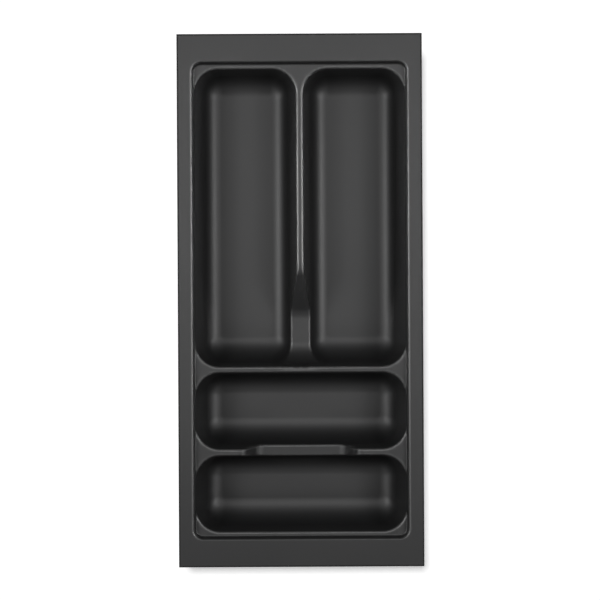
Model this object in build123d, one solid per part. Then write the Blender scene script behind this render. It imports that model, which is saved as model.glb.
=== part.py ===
from build123d import *
import math
import os

os.makedirs("parts", exist_ok=True)

# ---------------------------------------------------------------- dimensions
# Millimetres. Origin at the middle of the underside, +X to the right,
# +Y towards the back of the drawer, +Z up.
RIM_W = 218.0            # trimmed width
RIM_L = 474.0            # trimmed length
HEIGHT = 50.0            # underside of the floors to the top of the rim
SHEET = 2.0              # sheet thickness

STEP = 6.0               # rim down to the ledge
LEDGE_Z = HEIGHT - STEP
FLOOR_Z = SHEET          # upper face of the compartment floors

RECESS_X = 94.5          # half width of the recess at the ledge
RECESS_Y = 210.6         # half length of the recess at the ledge
RECESS_R = 7.0           # plan radius of the recess corners
RECESS_DRAFT = 13.0      # degrees

MOUTH_X = 94.4           # outer edge of the compartments at the ledge
RIDGE_X = 2.75           # half width of the ridge between the long pair
LONG_Y = (-59.4, 206.2)  # long compartments, front and back edges
MID_Y = (-133.0, -64.7)  # middle compartment
LOW_Y = (-206.6, -138.9) # front compartment
MOUTH_R = 22.0           # plan radius of the compartment mouths
FLOOR_CORNER_R = 2.6     # plan radius left at the flat of the floor

SIDE_DRAFT = 14.4        # degrees, side walls
SIDE_FILLET = 15.0       # radius between side walls and floor
END_DRAFT = 6.0          # degrees, end walls
FRONT_FILLET = 23.5      # radius between front end walls and floor
BACK_FILLET = 19.0       # radius between back end walls and floor

# Finger dip at the front end of the ridge between the long compartments
RIDGE_DIP_Z = 20.0       # floor of the dip
RIDGE_DIP_TOP_Y = 25.5   # slope meets the ledge
RIDGE_DIP_FOOT_Y = -12.0 # slope meets the floor of the dip
RIDGE_DIP_HALF = 27.0    # reaches this far to each side
RIDGE_DIP_FOOT_R = 18.0   # between its floor and the slope
RIDGE_DIP_WALL_R = 19.0   # between its floor and the end wall
DIP_SETBACK = 0.3        # dip wall stands this far inside the end walls

# Finger dip in the divider between the two wide compartments
CROSS_DIP_Z = 24.0
CROSS_DIP_TOP_X = 50.8
CROSS_DIP_FOOT_X = 38.8
CROSS_DIP_REACH = 9.0    # past each edge of the divider
CROSS_DIP_R = 12.0


# ------------------------------------------------------------------ profiles
def wall_inset(z, draft, radius, grow):
    """Distance from the mouth edge in to the wall surface at height z.
    grow = 0 gives the face inside, grow = SHEET the face underneath."""
    a = math.radians(draft)
    depth = LEDGE_Z - FLOOR_Z
    tangent = (depth - radius * (1.0 - math.sin(a))) * math.tan(a)
    centre_in = tangent + radius * math.cos(a)
    centre_z = FLOOR_Z + radius
    r = radius + grow
    if z >= centre_z - r * math.sin(a):
        return (LEDGE_Z - z) * math.tan(a) - grow / math.cos(a)
    return centre_in - math.sqrt(max(r * r - (centre_z - z) ** 2, 0.0))


def pocket(x0, x1, y0, y1, grow, top):
    """Solid filling a compartment, stacked up from rounded outlines."""
    cx, cy = (x0 + x1) / 2.0, (y0 + y1) / 2.0
    hx, hy = (x1 - x0) / 2.0, (y1 - y0) / 2.0
    r_end = FRONT_FILLET + grow
    levels = [top, 30.0]
    for degrees in (83.0, 68.0, 54.0, 42.0, 32.0, 23.0, 15.0, 8.0, 0.0):
        levels.append(FLOOR_Z + FRONT_FILLET - r_end * math.cos(math.radians(degrees)))
    full = (2.0 * wall_inset(FLOOR_Z, SIDE_DRAFT, SIDE_FILLET, 0.0)
            + wall_inset(FLOOR_Z, END_DRAFT, FRONT_FILLET, 0.0)
            + wall_inset(FLOOR_Z, END_DRAFT, BACK_FILLET, 0.0)) / 4.0
    faces = []
    for z in levels:
        dx = wall_inset(z, SIDE_DRAFT, SIDE_FILLET, grow)
        front = wall_inset(z, END_DRAFT, FRONT_FILLET, grow)
        back = wall_inset(z, END_DRAFT, BACK_FILLET, grow)
        dy, shift = (front + back) / 2.0, (front - back) / 2.0
        share = ((dx + dy) / 2.0 + grow) / (full + grow)
        r = (MOUTH_R + grow) * (1.0 - share) + FLOOR_CORNER_R * share
        faces.append(Plane.XY.offset(z) * Pos(cx, cy + shift)
                     * RectangleRounded(2 * (hx - dx), 2 * (hy - dy), r))
    return loft(faces, ruled=True)


def rounded_block(hx, hy, r, z0, z1, draft):
    """Tapered block on a rounded outline, sized at the ledge."""
    faces = []
    for z in (z0, z1):
        d = (z - LEDGE_Z) * math.tan(math.radians(draft))
        faces.append(Plane.XY.offset(z) * RectangleRounded(2 * (hx + d), 2 * (hy + d), r + d))
    return loft(faces, ruled=True)


POCKETS = [
    (-MOUTH_X, -RIDGE_X, LONG_Y[0], LONG_Y[1]),
    (RIDGE_X, MOUTH_X, LONG_Y[0], LONG_Y[1]),
    (-MOUTH_X, MOUTH_X, MID_Y[0], MID_Y[1]),
    (-MOUTH_X, MOUTH_X, LOW_Y[0], LOW_Y[1]),
]


def ridge_dip(grow, top):
    """Scoop across the ridge: a slope down from the ledge, a short floor and
    the end wall that the long compartments share."""
    t = math.tan(math.radians(END_DRAFT))
    floor = RIDGE_DIP_Z - grow
    slope = math.atan2(LEDGE_Z - RIDGE_DIP_Z, RIDGE_DIP_TOP_Y - RIDGE_DIP_FOOT_Y)
    wall = LONG_Y[0] + DIP_SETBACK - grow / math.cos(math.radians(END_DRAFT))
    run = (RIDGE_DIP_TOP_Y - RIDGE_DIP_FOOT_Y) / (LEDGE_Z - RIDGE_DIP_Z)

    def slope_y(z):
        return RIDGE_DIP_FOOT_Y + (z - RIDGE_DIP_Z) * run + grow / math.sin(slope)

    pts = [(wall + (LEDGE_Z - top) * t, top), (wall + (LEDGE_Z - floor) * t, floor),
           (slope_y(floor), floor), (slope_y(top), top)]
    face = make_face(Polyline(*pts, close=True))
    for (y, z), r in ((pts[1], RIDGE_DIP_WALL_R), (pts[2], RIDGE_DIP_FOOT_R)):
        face = fillet(face.vertices().sort_by_distance((y, z, 0))[0], r + grow)
    return extrude(Plane.YZ.offset(-RIDGE_DIP_HALF) * face, 2 * RIDGE_DIP_HALF)


def cross_dip(grow, top):
    """Scoop across the divider between the wide compartments."""
    floor = CROSS_DIP_Z - grow
    run = (CROSS_DIP_TOP_X - CROSS_DIP_FOOT_X) / (LEDGE_Z - CROSS_DIP_Z)
    slope = math.atan2(1.0, run)

    def slope_x(z):
        return CROSS_DIP_FOOT_X + (z - CROSS_DIP_Z) * run + grow / math.sin(slope)

    pts = [(-slope_x(top), top), (-slope_x(floor), floor),
           (slope_x(floor), floor), (slope_x(top), top)]
    face = make_face(Polyline(*pts, close=True))
    low = face.vertices().sort_by(Axis.Y)[:2]
    face = fillet(low, CROSS_DIP_R + grow)
    y1 = MID_Y[0] + CROSS_DIP_REACH
    y0 = LOW_Y[1] - CROSS_DIP_REACH
    return extrude(Plane.XZ.offset(-y1) * face, y1 - y0)


# ---------------------------------------------------------------------- tray
# Sheet envelope: trimmed rim, recess tub, compartment tubs, dip saddles.
rim = Pos(0, 0, HEIGHT - SHEET / 2.0) * Box(RIM_W, RIM_L, SHEET)
recess_tub = rounded_block(RECESS_X + SHEET, RECESS_Y + SHEET, RECESS_R + SHEET,
                           LEDGE_Z - SHEET, HEIGHT - SHEET / 2.0, RECESS_DRAFT)
envelope = rim + recess_tub
for box in POCKETS:
    envelope += pocket(*box, SHEET, LEDGE_Z - SHEET / 2.0)
envelope += ridge_dip(SHEET, LEDGE_Z - SHEET / 2.0)
envelope += cross_dip(SHEET, LEDGE_Z - SHEET / 2.0)

# Everything above the sheet.
hollow = rounded_block(RECESS_X, RECESS_Y, RECESS_R, LEDGE_Z, HEIGHT + 2.0, RECESS_DRAFT)
for box in POCKETS:
    hollow += pocket(*box, 0.0, LEDGE_Z + 1.0)
hollow += ridge_dip(0.0, LEDGE_Z + 1.0)
hollow += cross_dip(0.0, LEDGE_Z + 1.0)

tray = envelope - hollow
print("solids", len(tray.solids()), "valid", tray.is_valid, "volume", round(tray.volume),
      "box", tray.bounding_box())
export_step(tray.solids()[0], "parts/cutlery_tray.step")
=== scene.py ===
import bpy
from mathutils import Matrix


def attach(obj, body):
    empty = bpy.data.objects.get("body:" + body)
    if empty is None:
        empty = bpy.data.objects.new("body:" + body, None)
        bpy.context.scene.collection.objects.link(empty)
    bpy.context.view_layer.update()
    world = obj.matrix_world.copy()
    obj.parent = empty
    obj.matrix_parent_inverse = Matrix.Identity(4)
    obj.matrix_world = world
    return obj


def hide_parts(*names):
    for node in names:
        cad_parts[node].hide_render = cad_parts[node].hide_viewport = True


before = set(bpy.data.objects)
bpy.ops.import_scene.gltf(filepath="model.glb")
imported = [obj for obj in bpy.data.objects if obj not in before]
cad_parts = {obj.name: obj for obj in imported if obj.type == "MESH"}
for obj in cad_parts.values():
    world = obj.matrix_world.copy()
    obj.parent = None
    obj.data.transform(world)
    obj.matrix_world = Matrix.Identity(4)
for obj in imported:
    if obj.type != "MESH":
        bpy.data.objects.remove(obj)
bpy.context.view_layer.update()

import math

import bpy
import numpy as np
from mathutils import Matrix, Vector
from mathutils.geometry import delaunay_2d_cdt

# ------------------------------------------------------------------ the tray
# Millimetres, in the frame of the CAD part.
RIM_W, RIM_L, HEIGHT, SHEET = 218.0, 474.0, 50.0, 2.0
LEDGE_Z, FLOOR_Z = 44.0, 2.0
DEPTH = LEDGE_Z - FLOOR_Z
RECESS_X, RECESS_Y, RECESS_R, RECESS_DRAFT = 94.5, 210.6, 7.0, 13.0
MOUTH_X, RIDGE_X = 94.4, 2.75
LONG_Y = (-59.4, 206.2)
MID_Y = (-133.0, -64.7)
LOW_Y = (-206.6, -138.9)
MOUTH_R, FLOOR_CORNER_R = 22.0, 2.6
SIDE_DRAFT, SIDE_FILLET = 14.4, 15.0
END_DRAFT, FRONT_FILLET, BACK_FILLET = 6.0, 23.5, 19.0
LIP_R = 1.6              # rounding along the dividers
RIM_R = 1.3              # rounding where the rim rolls into the recess
FOOT_R = 1.2             # inside radius at the foot of the recess wall
TRIM, DROP = 1.4, 0.8    # rounding of the trimmed edge, across and down

POCKETS = [              # centre x, centre y, half x, half y; the long pair by |x|
    ((RIDGE_X + MOUTH_X) / 2, sum(LONG_Y) / 2, (MOUTH_X - RIDGE_X) / 2, (LONG_Y[1] - LONG_Y[0]) / 2),
    (0.0, sum(MID_Y) / 2, MOUTH_X, (MID_Y[1] - MID_Y[0]) / 2),
    (0.0, sum(LOW_Y) / 2, MOUTH_X, (LOW_Y[1] - LOW_Y[0]) / 2),
]


def tan(degrees):
    return math.tan(math.radians(degrees))


def cos(degrees):
    return math.cos(math.radians(degrees))


def sin(degrees):
    return math.sin(math.radians(degrees))


def union(a, b, r):
    """Space inside either shape, with the edge between them rounded by r."""
    u, v = np.maximum(r - a, 0.0), np.maximum(r - b, 0.0)
    return np.maximum(r, np.minimum(a, b)) - np.sqrt(u * u + v * v)


def common(a, b, r):
    """Space inside both shapes, with the corner between them filled by r."""
    u, v = np.maximum(r + a, 0.0), np.maximum(r + b, 0.0)
    return np.minimum(-r, np.maximum(a, b)) + np.sqrt(u * u + v * v)


def inset(z, draft, radius, grow):
    """How far the wall stands in from the mouth at height z, and its slope."""
    a = math.radians(draft)
    tangent = (DEPTH - radius * (1.0 - math.sin(a))) * math.tan(a)
    cin, cz, r = tangent + radius * math.cos(a), FLOOR_Z + radius, radius + grow
    root = np.sqrt(np.maximum(r * r - (cz - z) ** 2, 1e-6))
    straight = z >= cz - r * math.sin(a)
    d = np.where(straight, (LEDGE_Z - z) * math.tan(a) - grow / math.cos(a), cin - root)
    s = np.where(straight, math.tan(a), (cz - z) / root)
    return d, s


def level(z, grow):
    """Insets of the side, front and back walls at height z, and the plan
    radius of the corners there."""
    dx, _ = inset(z, SIDE_DRAFT, SIDE_FILLET, grow)
    front, _ = inset(z, END_DRAFT, FRONT_FILLET, grow)
    back, _ = inset(z, END_DRAFT, BACK_FILLET, grow)
    share = ((dx + (front + back) / 2.0) / 2.0 + grow) / (FULL + grow)
    return dx, front, back, np.maximum((MOUTH_R + grow) * (1.0 - share) + FLOOR_CORNER_R * share, 0.5)


FULL = sum(w * float(inset(np.array([FLOOR_Z]), a, r, 0.0)[0][0]) for w, a, r in
           ((0.5, SIDE_DRAFT, SIDE_FILLET), (0.25, END_DRAFT, FRONT_FILLET), (0.25, END_DRAFT, BACK_FILLET)))


def rounded(x, y, hx, hy, r):
    qx, qy = np.abs(x) - hx + r, np.abs(y) - hy + r
    return np.hypot(np.maximum(qx, 0.0), np.maximum(qy, 0.0)) + np.minimum(np.maximum(qx, qy), 0.0) - r, qx, qy


def pocket(i, x, y, z, grow):
    cx, cy, hx, hy = POCKETS[i]
    px = np.abs(x) - cx if i == 0 else x - cx
    dx, front, back, r = level(z, grow)
    sx = inset(z, SIDE_DRAFT, SIDE_FILLET, grow)[1]
    sy = np.where(y > cy, inset(z, END_DRAFT, BACK_FILLET, grow)[1], inset(z, END_DRAFT, FRONT_FILLET, grow)[1])
    dy = np.where(y > cy, back, front)
    d, qx, qy = rounded(px, y - cy, hx - dx, hy - dy, r)
    gx, gy = np.maximum(qx, 0.0), np.maximum(qy, 0.0)
    n = gx * gx + gy * gy
    w = np.where(n > 1e-9, gx * gx / np.maximum(n, 1e-9), qx > qy)
    s2 = w * sx * sx + (1.0 - w) * sy * sy
    return np.maximum(np.where(d < 4.0, d / np.sqrt(1.0 + s2), d), FLOOR_Z - grow - z)


def ramp(t, low_at, high_at, low, high, r_low, r_high):
    """Height and slope of a dip along its length: a floor, a concave bend, a
    straight slope, and a convex bend on to the ledge."""
    slope = math.atan2(high - low, high_at - low_at)
    k, h = math.tan(slope), math.tan(slope / 2.0)
    a0, a1 = low_at - r_low * h, low_at + r_low * h * math.cos(slope)
    b0, b1 = high_at - r_high * h * math.cos(slope), high_at + r_high * h
    z = low + (t - low_at) * k
    g = np.full_like(t, k)
    m = t < a1
    u = np.clip(t - a0, 0.0, a1 - a0)
    z = np.where(m, low + r_low - np.sqrt(r_low ** 2 - u * u), z)
    g = np.where(m, u / np.sqrt(r_low ** 2 - u * u), g)
    m = t > b0
    u = np.clip(b1 - t, 0.0, b1 - b0)
    z = np.where(m, high - r_high + np.sqrt(r_high ** 2 - u * u), z)
    g = np.where(m, u / np.sqrt(r_high ** 2 - u * u), g)
    over = np.maximum(t - b1, 0.0)
    return z + 0.03 * over * over, g + 0.06 * over


RIDGE_DIP = (-12.0, 25.5, 20.0, LEDGE_Z, 18.0, 15.0)
CROSS_DIP = (38.8, 50.8, 24.0, LEDGE_Z, 12.0, 7.0)


def ridge_dip(x, y, z, grow):
    h, g = ramp(y, *RIDGE_DIP)
    f = (h - z) / np.sqrt(1.0 + g * g) - grow
    wall = (LONG_Y[0] - y + (LEDGE_Z - z) * tan(END_DRAFT)) * cos(END_DRAFT) - grow
    return common(f, wall, 19.0 + grow)


def cross_dip(x, y, z, grow):
    h, g = ramp(np.abs(x), *CROSS_DIP)
    f = (h - z) / np.sqrt(1.0 + g * g) - grow
    mid, half = (MID_Y[0] + LOW_Y[1]) / 2.0, (MID_Y[0] - LOW_Y[1]) / 2.0
    return np.maximum(f, np.abs(y - mid) - half - 9.0)


def slopes(f, h=0.02):
    def g(x, y, z, grow):
        v = np.stack([f(x + h, y, z, grow) - f(x - h, y, z, grow),
                      f(x, y + h, z, grow) - f(x, y - h, z, grow),
                      f(x, y, z + h, grow) - f(x, y, z - h, grow)])
        return v / np.maximum(np.sqrt((v * v).sum(0)), 1e-9)
    return g


def tubs(x, y, z, grow):
    r = LIP_R if grow == 0.0 else 0.5
    u = LEDGE_Z - grow - z
    for i in range(3):
        u = union(u, pocket(i, x, y, z, grow), r)
    return u


def smooth(t, a, b):
    t = np.clip((t - a) / (b - a), 0.0, 1.0)
    return t * t * (3.0 - 2.0 * t)


def with_dips(x, y, z, grow):
    r = LIP_R if grow == 0.0 else 0.5
    # the slope of the ridge dip meets the walls beside it in a tighter edge
    tight = smooth(y, -9.0, -3.0) * (1.0 - smooth(y, 20.0, 28.0)) * (1.2 if grow == 0.0 else 0.0)
    u = tubs(x, y, z, grow)
    for dip, near in ((ridge_dip, (np.abs(x) < 31) & (y > -66) & (y < 60)),
                      (cross_dip, (np.abs(x) < 75) & (y > -155) & (y < -118))):
        k = np.nonzero(near)[0]
        if len(k):
            p = x[k], y[k], z[k], grow
            turn = np.clip((slopes(tubs)(*p) * slopes(dip)(*p)).sum(0), -1.0, 1.0)
            rr = r - tight[k] if dip is ridge_dip else r
            rr = np.maximum(rr * np.sqrt(1.0 - turn * turn), 1e-3)
            u[k] = union(u[k], dip(*p), rr)
    return u


def sheet(x, y, z, grow):
    """Below zero in the open space above the sheet (grow = 0), or above its
    underside (grow = SHEET)."""
    d, _, _ = rounded(x, y, RECESS_X, RECESS_Y, RECESS_R)
    wall = (d - (z - LEDGE_Z) * tan(RECESS_DRAFT)) * cos(RECESS_DRAFT) - grow
    u = common(wall, with_dips(x, y, z, grow), FOOT_R + grow)
    return union(HEIGHT - grow - z, u, RIM_R if grow == 0.0 else 0.6)


def lift(xy, grow):
    """Height of the sheet's face over each plan point."""
    x, y = xy[:, 0], xy[:, 1]
    lo = np.full(len(x), FLOOR_Z - grow - 0.5)
    hi = np.full(len(x), HEIGHT + 1.0)
    for _ in range(34):
        mid = (lo + hi) / 2.0
        below = sheet(x, y, mid, grow) > 0.0
        lo, hi = np.where(below, mid, lo), np.where(below, hi, mid)
    return (lo + hi) / 2.0


def outline(hx, hy, r, cx, cy, step, corner):
    """Closed loop of plan points on a rounded outline; the points keep their
    order and share from loop to loop."""
    pts = []
    nx, ny = step
    for k, (sx, sy) in enumerate(((1, 1), (-1, 1), (-1, -1), (1, -1))):
        ox, oy = cx + sx * (hx - r), cy + sy * (hy - r)
        a = np.radians(np.linspace(0, 90, corner + 1) + 90 * k)
        pts.append(np.stack([ox + r * np.cos(a), oy + r * np.sin(a)], 1))
        n = nx if k % 2 == 0 else ny
        nsx, nsy = ((-1, 1), (-1, -1), (1, -1), (1, 1))[k]
        start, end = pts[-1][-1], None
        ox2, oy2 = cx + nsx * (hx - r), cy + nsy * (hy - r)
        b = math.radians(90 * (k + 1))
        end = np.array([ox2 + r * math.cos(b), oy2 + r * math.sin(b)])
        t = np.linspace(0, 1, n + 1)[1:-1, None]
        pts.append(start + (end - start) * t)
    return np.concatenate(pts)


def plan(grow):
    """Plan points and the runs that follow the shape's own lines."""
    xy, runs = [], []

    def add(loop, keep=None, close=True):
        keep = np.ones(len(loop), bool) if keep is None else keep
        index = np.full(len(loop), -1)
        first = sum(len(p) for p in xy)
        index[keep] = first + np.arange(int(keep.sum()))
        xy.append(loop[keep])
        nxt = np.roll(index, -1)
        if not close:
            nxt[-1] = -1
        ok = (index >= 0) & (nxt >= 0)
        runs.append(np.stack([index[ok], nxt[ok]], 1))

    half_w, half_l = RIM_W / 2 - TRIM, RIM_L / 2 - TRIM
    # trimmed outline
    ex, ey = np.linspace(-half_w, half_w, 23), np.linspace(-half_l, half_l, 49)
    edge = np.concatenate([np.stack([ex[:-1], np.full(22, -half_l)], 1), np.stack([np.full(48, half_w), ey[:-1]], 1),
                           np.stack([ex[::-1][:-1], np.full(22, half_l)], 1), np.stack([np.full(48, -half_w), ey[::-1][:-1]], 1)])
    add(edge)
    # recess: foot, wall and roll on to the rim, as distances in from the
    # recess outline at the ledge
    foot = FOOT_R * tan((90 - RECESS_DRAFT) / 2)
    if grow == 0.0:
        top = (HEIGHT - LEDGE_Z) * tan(RECESS_DRAFT)
        roll = top + RIM_R * tan((90 - RECESS_DRAFT) / 2)
        rows = [-roll - 3.0, -roll - 0.8, -roll - 0.3] + [-roll + RIM_R * sin(a) for a in (0, 14, 28, 42, 56, 69, 83)] + [-0.36, -0.2]
        rows += [foot - FOOT_R * sin(a) for a in (81, 66, 50, 35, 20, 8)] + [foot + 0.15]
    else:
        g = grow / cos(RECESS_DRAFT)
        top = (HEIGHT - LEDGE_Z) * tan(RECESS_DRAFT) + g
        rows = [-top - 3.0, -top - 0.8, -top - 0.45, -top - 0.25, -top - 0.1, -top, -g - 0.3]
        rows += [foot - (FOOT_R + grow) * sin(a) for a in (81, 66, 50, 35, 20, 8)] + [foot + 0.15]
    for q in rows:
        add(outline(RECESS_X - q, RECESS_Y - q, max(RECESS_R - q, 0.5), 0, 0, (26, 60), 12))
    # compartments: lip rows out on the ledge, then level lines down to the floor
    deep = np.array([40.0, 36.0, 31.0, 27.0, 24.0, 21.5, 19.0, 16.8, 14.8, 12.9, 11.2, 9.6, 8.2, 6.9, 5.8, 4.8, 4.0, 3.3, 2.8, 2.45, 2.2, 2.07, 2.0])
    deep = FLOOR_Z - grow + (deep - FLOOR_Z) * (1 + grow / 60.0)
    lip = LIP_R if grow == 0.0 else 0.5
    for i, (cx, cy, hx, hy) in enumerate(POCKETS):
        steps = (8, 30) if i == 0 else (20, 6)
        for sx in ((1, -1) if i == 0 else (1,)):
            loops = []
            ux = lip * tan((90 - SIDE_DRAFT) / 2)
            for a in (-30, -8, 0, 15, 30, 45, 60, 72, 81):
                o = -ux + lip * (sin(a) if a >= 0 else a / 24.0) - grow / cos(SIDE_DRAFT)
                loops.append((o, o, o, MOUTH_R - o))
            for z in np.concatenate([[42.2, 41.4] if grow == 0.0 else [40.8], deep]):
                loops.append(tuple(float(v[0]) for v in level(np.array([z]), grow)))
            for dx, front, back, r in loops:
                loop = outline(hx - dx, hy - (front + back) / 2, r, sx * cx, cy + (front - back) / 2, steps, 16)
                d, _, _ = rounded(loop[:, 0], loop[:, 1], RECESS_X, RECESS_Y, RECESS_R)
                limit = -1.25 if dx < -grow / cos(SIDE_DRAFT) + 0.15 else -0.1
                add(loop, d < limit if grow == 0.0 else d < 1.5)
            # flat of the floor
            fx = np.arange(-hx + loops[-1][0] + 4, hx - loops[-1][0] - 3.9, 9.0)
            fy = np.arange(-hy + loops[-1][1] + 4, hy - loops[-1][1] - 3.9, 9.0)
            if len(fx) and len(fy):
                add(np.stack(np.meshgrid(fx + sx * cx, fy + cy), -1).reshape(-1, 2), close=False)
                runs.pop()
    return np.concatenate(xy), np.concatenate(runs), len(edge)


def triangulate(xy, runs):
    got = delaunay_2d_cdt([Vector((float(a), float(b))) for a, b in xy], [(int(a), int(b)) for a, b in runs], [], 0, 0.004)
    verts = np.array([(v.x, v.y) for v in got[0]])
    tris = np.array([f for f in got[2] if len(f) == 3])
    orig = got[3]
    a, b, c = verts[tris[:, 0]], verts[tris[:, 1]], verts[tris[:, 2]]
    area = (b[:, 0] - a[:, 0]) * (c[:, 1] - a[:, 1]) - (b[:, 1] - a[:, 1]) * (c[:, 0] - a[:, 0])
    tris[area < 0] = tris[area < 0][:, ::-1]
    return verts, tris, np.array(got[1]), orig


def normals(p, grow, h=0.01):
    x, y, z = p[:, 0], p[:, 1], p[:, 2]
    v = np.stack([sheet(x + h, y, z, grow) - sheet(x - h, y, z, grow),
                  sheet(x, y + h, z, grow) - sheet(x, y - h, z, grow),
                  sheet(x, y, z + h, grow) - sheet(x, y, z - h, grow)], 1)
    return v / np.maximum(np.linalg.norm(v, axis=1), 1e-9)[:, None]


def face_of(grow, tol, rounds):
    """One face of the sheet as points, triangles and exact normals."""
    xy, runs, n_edge = plan(grow)
    for k in range(rounds + 1):
        verts, tris, edges, orig = triangulate(xy, runs)
        z = lift(verts, grow)
        if k == rounds:
            break
        e = np.unique(np.sort(np.concatenate([tris[:, :2], tris[:, 1:], tris[:, ::2]]), axis=1), axis=0)
        a, b = verts[e[:, 0]], verts[e[:, 1]]
        mid = (a + b) / 2
        inside = (np.abs(mid[:, 0]) < RIM_W / 2 - 2) & (np.abs(mid[:, 1]) < RIM_L / 2 - 2)
        e, mid, a, b = e[inside], mid[inside], a[inside], b[inside]
        zm = lift(mid, grow)
        p = np.column_stack([mid, zm])
        n = normals(p, grow)
        err = np.abs(zm - (z[e[:, 0]] + z[e[:, 1]]) / 2) * np.abs(n[:, 2])
        bad = (err > tol) & (np.hypot(*(a - b).T) > 0.16)
        if not bad.any():
            break
        xy, runs = np.concatenate([verts, mid[bad]]), edges
    return np.column_stack([verts, z]), tris, orig


def main_edge(p):
    """Indices of the trimmed outline's points, in order round the sheet."""
    hw, hl, eps = RIM_W / 2 - TRIM, RIM_L / 2 - TRIM, 1e-3
    x, y = p[:, 0], p[:, 1]
    on = np.nonzero((np.abs(np.abs(x) - hw) < eps) | (np.abs(np.abs(y) - hl) < eps))[0]
    t = np.where(np.abs(y[on] + hl) < eps, x[on] + hw, np.where(np.abs(x[on] - hw) < eps, 2 * hw + y[on] + hl,
        np.where(np.abs(y[on] - hl) < eps, 2 * hw + 2 * hl + hw - x[on], 4 * hw + 2 * hl + hl - y[on])))
    return on[np.argsort(t)]


def convexity(p, tris, n):
    """How sharply the face turns outward at each point, per millimetre."""
    e = np.unique(np.sort(np.concatenate([tris[:, :2], tris[:, 1:], tris[:, ::2]]), axis=1), axis=0)
    d = p[e[:, 1]] - p[e[:, 0]]
    k = ((n[e[:, 1]] - n[e[:, 0]]) * d).sum(1) / np.maximum((d * d).sum(1), 1e-6)
    most = np.zeros(len(p))
    for c in (0, 1):
        np.maximum.at(most, e[:, c], k)
    for _ in range(1):
        total, count = most.copy(), np.ones(len(p))
        for c in (0, 1):
            np.add.at(total, e[:, c], most[e[:, 1 - c]])
            np.add.at(count, e[:, c], 1.0)
        most = total / count
    return most


def make_tray():
    top, tri_t, _ = face_of(0.0, 0.03, 4)
    low, tri_l, _ = face_of(SHEET, 0.06, 3)
    n_t, n_l = -normals(top, 0.0), normals(low, SHEET)
    n_t[:, :] *= np.sign(n_t[:, 2:3] + 1e-12)
    n_l[:, :] *= -np.sign(n_l[:, 2:3] - 1e-12)
    et, el = main_edge(top), main_edge(low)
    if len(et) != len(el):
        raise RuntimeError(f"outline points differ: {len(et)} and {len(el)}")
    # the trimmed edge, rounded over from the rim, straight down, and under
    m = len(et)
    ring = top[et][:, :2]
    away = np.column_stack([np.where(np.abs(np.abs(ring[:, 0]) - RIM_W / 2 + TRIM) < 1e-3, np.sign(ring[:, 0]), 0.0),
                            np.where(np.abs(np.abs(ring[:, 1]) - RIM_L / 2 + TRIM) < 1e-3, np.sign(ring[:, 1]), 0.0)])
    turn = [22.5, 45.0, 67.5, 90.0, 90.0, 112.5, 135.0, 157.5]
    rows = []
    for i, a in enumerate(turn):
        fall = DROP * (1.0 - abs(cos(a)))
        z = HEIGHT - fall if i < 4 else HEIGHT - SHEET + fall
        rows.append(np.column_stack([ring + TRIM * sin(a) * away, np.full(m, z)]))
    points = np.concatenate([top, low] + rows)
    first = len(top) + len(low)
    ids = [et] + [first + i * m + np.arange(m) for i in range(len(turn))] + [len(top) + el]
    turn = [0.0] + turn + [180.0]
    j = np.arange(m)
    k = (j + 1) % m
    along = ring[k] - ring[j]
    out = np.column_stack([along[:, 1], -along[:, 0]]) / np.hypot(along[:, 0], along[:, 1])[:, None]
    strip, strip_n = [], []
    for r in range(len(ids) - 1):
        strip.append(np.stack([ids[r][k], ids[r][j], ids[r + 1][j], ids[r + 1][k]], 1))
        pair = []
        for a in (turn[r], turn[r + 1]):
            v = np.column_stack([out * sin(a) / TRIM, np.full(m, cos(a) / DROP)])
            pair.append(v / np.linalg.norm(v, axis=1)[:, None])
        strip_n.append(np.stack([pair[0], pair[0], pair[1], pair[1]], 1))
    strip, strip_n = np.concatenate(strip), np.concatenate(strip_n).reshape(-1, 3)
    faces = [tuple(f) for f in tri_t] + [tuple(f) for f in tri_l[:, ::-1] + len(top)] + [tuple(f) for f in strip]
    me = bpy.data.meshes.new("cutlery_tray_skin")
    me.from_pydata((points / 1000.0).tolist(), [], faces)
    me.polygons.foreach_set("use_smooth", np.ones(len(faces), bool))
    # where the sheet is drawn over an outer bend (painted highlight, smoother and flatter grain there), and where it
    # was cut (painted shade)
    edge = np.zeros(len(points))
    edge[:len(top)] = np.clip((convexity(top, tri_t, n_t) - 0.2) / 0.25, 0.0, 1.0)
    # painted highlight: a lighter colour on the lips, the edges of the dips and the long sides of the rim,
    # less where a bend faces the front
    x, y, z = top.T
    flat = np.maximum(np.hypot(n_t[:, 0], n_t[:, 1]), 1e-6)
    painted_highlight_zone = (z > LEDGE_Z - 1.7) | ((np.abs(x) < 14.0) & (y > -47.0) & (y < -8.5))
    painted_highlight_zone |= (np.abs(x) < 52.0) & (y > LOW_Y[1] - 3.0) & (y < MID_Y[0] + 3.0)
    facing = 1.0 + 0.85 * np.minimum(n_t[:, 1] / flat, 0.0)
    edge[:len(top)] *= painted_highlight_zone * np.where(z > LEDGE_Z + 2.0, 0.15 + 0.85 * np.abs(n_t[:, 0]) / flat, facing)
    me.attributes.new("edge", "FLOAT", "POINT").data.foreach_set("value", edge.astype(np.float32))
    cut = np.zeros(3 * (len(tri_t) + len(tri_l)) + 4 * len(strip), np.float32)
    cut[-4 * len(strip):] = 1.0
    me.attributes.new("cut", "FLOAT", "CORNER").data.foreach_set("value", cut)
    loops = np.concatenate([n_t[tri_t].reshape(-1, 3), n_l[tri_l[:, ::-1]].reshape(-1, 3), strip_n])
    me.normals_split_custom_set(loops.tolist())
    me.update()
    print("tray mesh:", len(points), "points", len(faces), "faces; top", len(tri_t), "under", len(tri_l))
    return me


tray = bpy.data.objects.new("cutlery_tray_skin", make_tray())
bpy.context.scene.collection.objects.link(tray)
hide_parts("cutlery_tray")
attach(tray, "root")


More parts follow.
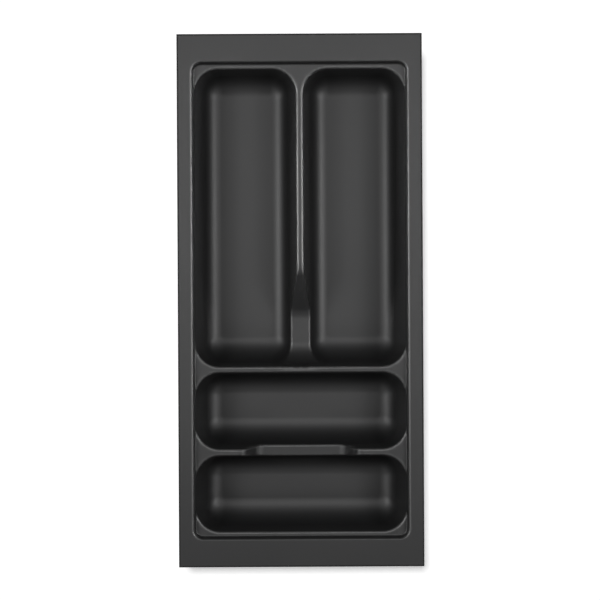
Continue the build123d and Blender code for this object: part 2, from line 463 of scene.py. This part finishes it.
# ------------------------------------------------------------------ material
def plastic():
    mat = bpy.data.materials.new("anthracite_sheet")
    mat.use_nodes = True
    nt = mat.node_tree
    bsdf = nt.nodes["Principled BSDF"]
    bsdf.inputs["IOR"].default_value = 1.5
    co = nt.nodes.new("ShaderNodeTexCoord")

    def noise(scale, detail, rough=0.5):
        n = nt.nodes.new("ShaderNodeTexNoise")
        n.inputs["Scale"].default_value = scale
        n.inputs["Detail"].default_value = detail
        n.inputs["Roughness"].default_value = rough
        nt.links.new(co.outputs["Object"], n.inputs["Vector"])
        return n.outputs["Fac"]

    def between(fac, lo, hi, a, b):
        n = nt.nodes.new("ShaderNodeMapRange")
        n.inputs["From Min"].default_value, n.inputs["From Max"].default_value = lo, hi
        n.inputs["To Min"].default_value, n.inputs["To Max"].default_value = a, b
        nt.links.new(fac, n.inputs["Value"])
        return n.outputs["Result"]

    def math_(op, a, b):
        n = nt.nodes.new("ShaderNodeMath")
        n.operation = op
        for socket, v in zip(n.inputs, (a, b)):
            if isinstance(v, (int, float)):
                socket.default_value = v
            else:
                nt.links.new(v, socket)
        return n.outputs["Value"]

    def mixed(fac, a, b):
        n = nt.nodes.new("ShaderNodeMix")
        n.data_type = "RGBA"
        nt.links.new(fac, n.inputs[0])
        for socket, v in ((n.inputs[6], a), (n.inputs[7], b)):
            if isinstance(v, tuple):
                socket.default_value = v
            else:
                nt.links.new(v, socket)
        return n.outputs[2]

    def attribute(name):
        n = nt.nodes.new("ShaderNodeAttribute")
        n.attribute_name = name
        return n.outputs["Fac"]

    cloud, fine = noise(14.0, 3.0), noise(1500.0, 2.0, 0.6)
    edge, cut = attribute("edge"), attribute("cut")
    edge = math_("MULTIPLY", edge, between(noise(60.0, 3.0), 0.3, 0.7, 0.75, 1.0))
    # colour: a dark grey that drifts a little over the sheet, with a painted highlight
    # (lighter grey) along the outer bends and painted shade (darker grey) along the cut
    drift = nt.nodes.new("ShaderNodeValToRGB")
    drift.color_ramp.elements[0].position, drift.color_ramp.elements[1].position = 0.3, 0.7
    drift.color_ramp.elements[0].color = (0.0034, 0.0034, 0.0036, 1)
    drift.color_ramp.elements[1].color = (0.0048, 0.0048, 0.0050, 1)
    nt.links.new(cloud, drift.inputs["Fac"])
    # painted highlight: the outer bends are mixed towards a lighter grey than the sheet
    colour = mixed(edge, drift.outputs["Color"], (0.036, 0.036, 0.036, 1))
    # painted shade: the cut edge is mixed to a grey darker than the sheet
    colour = mixed(cut, colour, (0.002, 0.002, 0.002, 1))
    nt.links.new(colour, bsdf.inputs["Base Color"])
    # finish: satin, a little uneven, smoother on the bends, dull on the cut
    rough = between(fine, 0.3, 0.7, 0.50, 0.57)
    rough = math_("MULTIPLY", rough, between(edge, 0.0, 1.0, 1.0, 0.8))
    rough = math_("MAXIMUM", rough, math_("MULTIPLY", cut, 0.85))
    nt.links.new(rough, bsdf.inputs["Roughness"])
    # embossed sheet: fine dots in diagonal rows, flatter where it is stretched
    turned = nt.nodes.new("ShaderNodeMapping")
    turned.inputs["Rotation"].default_value = (0.0, 0.0, math.radians(45.0))
    nt.links.new(co.outputs["Object"], turned.inputs["Vector"])
    dots = nt.nodes.new("ShaderNodeTexVoronoi")
    dots.inputs["Scale"].default_value = 800.0
    dots.inputs["Randomness"].default_value = 0.12
    nt.links.new(turned.outputs["Vector"], dots.inputs["Vector"])
    height = between(dots.outputs["Distance"], 0.15, 0.6, 1.0, 0.0)
    height = math_("MULTIPLY", height, between(edge, 0.0, 1.0, 1.0, 0.35))
    height = math_("ADD", height, math_("MULTIPLY", fine, 0.5))
    bump = nt.nodes.new("ShaderNodeBump")
    bump.inputs["Strength"].default_value = 0.3
    bump.inputs["Distance"].default_value = 0.00004
    nt.links.new(height, bump.inputs["Height"])
    nt.links.new(bump.outputs["Normal"], bsdf.inputs["Normal"])
    return mat


tray.data.materials.append(plastic())

# --------------------------------------------------------------------- stage
floor_me = bpy.data.meshes.new("floor")
floor_me.from_pydata([(-4, -4, -0.0003), (4, -4, -0.0003), (4, 4, -0.0003), (-4, 4, -0.0003)], [], [(0, 1, 2, 3)])
floor = bpy.data.objects.new("floor", floor_me)
bpy.context.scene.collection.objects.link(floor)
white = bpy.data.materials.new("floor")
white.use_nodes = True
white_bsdf = white.node_tree.nodes["Principled BSDF"]
white_bsdf.inputs["Base Color"].default_value = (0.9, 0.9, 0.9, 1)
white_bsdf.inputs["Roughness"].default_value = 0.9
white_bsdf.inputs["Emission Color"].default_value = (1, 1, 1, 1)
white_bsdf.inputs["Emission Strength"].default_value = 0.5
floor_me.materials.append(white)

# a pale surrounding; only a dim band along the horizon lights the sheet, so that
# from above it is lit by the lamps alone
world = bpy.data.worlds.new("studio")
bpy.context.scene.world = world
world.use_nodes = True
wt = world.node_tree
seen = wt.nodes.new("ShaderNodeLightPath")
sky = wt.nodes.new("ShaderNodeTexCoord")
part = wt.nodes.new("ShaderNodeSeparateXYZ")
rise = wt.nodes.new("ShaderNodeMapRange")
rise.interpolation_type = "SMOOTHSTEP"
rise.inputs["From Min"].default_value, rise.inputs["From Max"].default_value = 0.12, 0.5
rise.inputs["To Min"].default_value, rise.inputs["To Max"].default_value = 0.55, 0.0
most = wt.nodes.new("ShaderNodeMath")
most.operation = "MAXIMUM"
wt.links.new(sky.outputs["Generated"], part.inputs["Vector"])
wt.links.new(part.outputs["Z"], rise.inputs["Value"])
wt.links.new(rise.outputs["Result"], most.inputs[0])
wt.links.new(seen.outputs["Is Camera Ray"], most.inputs[1])
wt.links.new(most.outputs["Value"], wt.nodes["Background"].inputs["Strength"])
wt.nodes["Background"].inputs["Color"].default_value = (1, 1, 1, 1)


# the lamps over the tray leave out the floor, which has a soft light of its own
# and so takes one soft shadow
beside = bpy.data.collections.new("all_but_floor")
beside.objects.link(floor)
beside.collection_objects[0].light_linking.link_state = "EXCLUDE"
below = bpy.data.collections.new("floor_only")
below.objects.link(floor)


def aim(ob, at, to):
    ob.location = at
    ob.rotation_euler = (Vector(to) - Vector(at)).to_track_quat("-Z", "Y").to_euler()
    bpy.context.scene.collection.objects.link(ob)


def softbox(name, at, to, size, power, spread=180.0):
    data = bpy.data.lights.new(name, "AREA")
    data.shape = "RECTANGLE"
    data.size, data.size_y = size
    data.energy, data.spread = power, math.radians(spread)
    ob = bpy.data.objects.new(name, data)
    ob.light_linking.receiver_collection = beside
    aim(ob, at, to)


for side, name in ((-1, "left"), (1, "right")):
    softbox("side_" + name, (side * 0.70, 0.10, 0.90), (0, 0, 0.02), (0.24, 0.24), 6.9)
    softbox("wide_" + name, (side * 0.85, 0.10, 0.90), (0, 0, 0.02), (0.24, 0.24), 7.8)
    softbox("far_" + name, (side * 1.05, 0.10, 0.90), (0, 0, 0.02), (0.24, 0.24), 2.7)
    softbox("low_" + name, (side * 1.20, 0.13, 0.30), (0, 0.13, 0.04), (0.24, 0.24), 0.31, 28.0)
    softbox("front_" + name, (side * 0.60, -0.95, 1.05), (0, 0, 0.02), (0.24, 0.24), 4.2)
softbox("top", (0.0, 0.33, 1.70), (0, 0, 0.02), (0.5, 0.3), 14.0)

ground = bpy.data.lights.new("ground", "SUN")
ground.energy, ground.angle = 1.9, math.radians(12.0)
ground_ob = bpy.data.objects.new("ground", ground)
ground_ob.light_linking.receiver_collection = below
aim(ground_ob, (-0.22, 0.48, 2.0), (0, 0, 0))

# -------------------------------------------------------------------- camera
PHOTO = 600.0
SCALE = 474.0 / 533.5 / 1000.0           # metres per pixel at the rim
DIST = 1.475                             # camera above the rim
EYE_Y = 0.018
cam_data = bpy.data.cameras.new("camera")
cam_data.sensor_width = 36.0
cam_data.lens = 36.0 * DIST / (PHOTO * SCALE)
cam_data.shift_x, cam_data.shift_y = -0.3 / PHOTO, 0.2 / PHOTO - EYE_Y / (PHOTO * SCALE)
cam_data.clip_start, cam_data.clip_end = 0.05, 50.0
cam = bpy.data.objects.new("camera", cam_data)
roll = math.radians(-0.3)
cam.matrix_world = Matrix.Translation((0.0, EYE_Y, HEIGHT / 1000.0 + DIST)) @ Matrix.Rotation(roll, 4, "Z")
bpy.context.scene.collection.objects.link(cam)
bpy.context.scene.camera = cam

view = bpy.context.scene.view_settings
view.view_transform = "Standard"
view.look = "None"
view.gamma = 0.8                         # a little more contrast
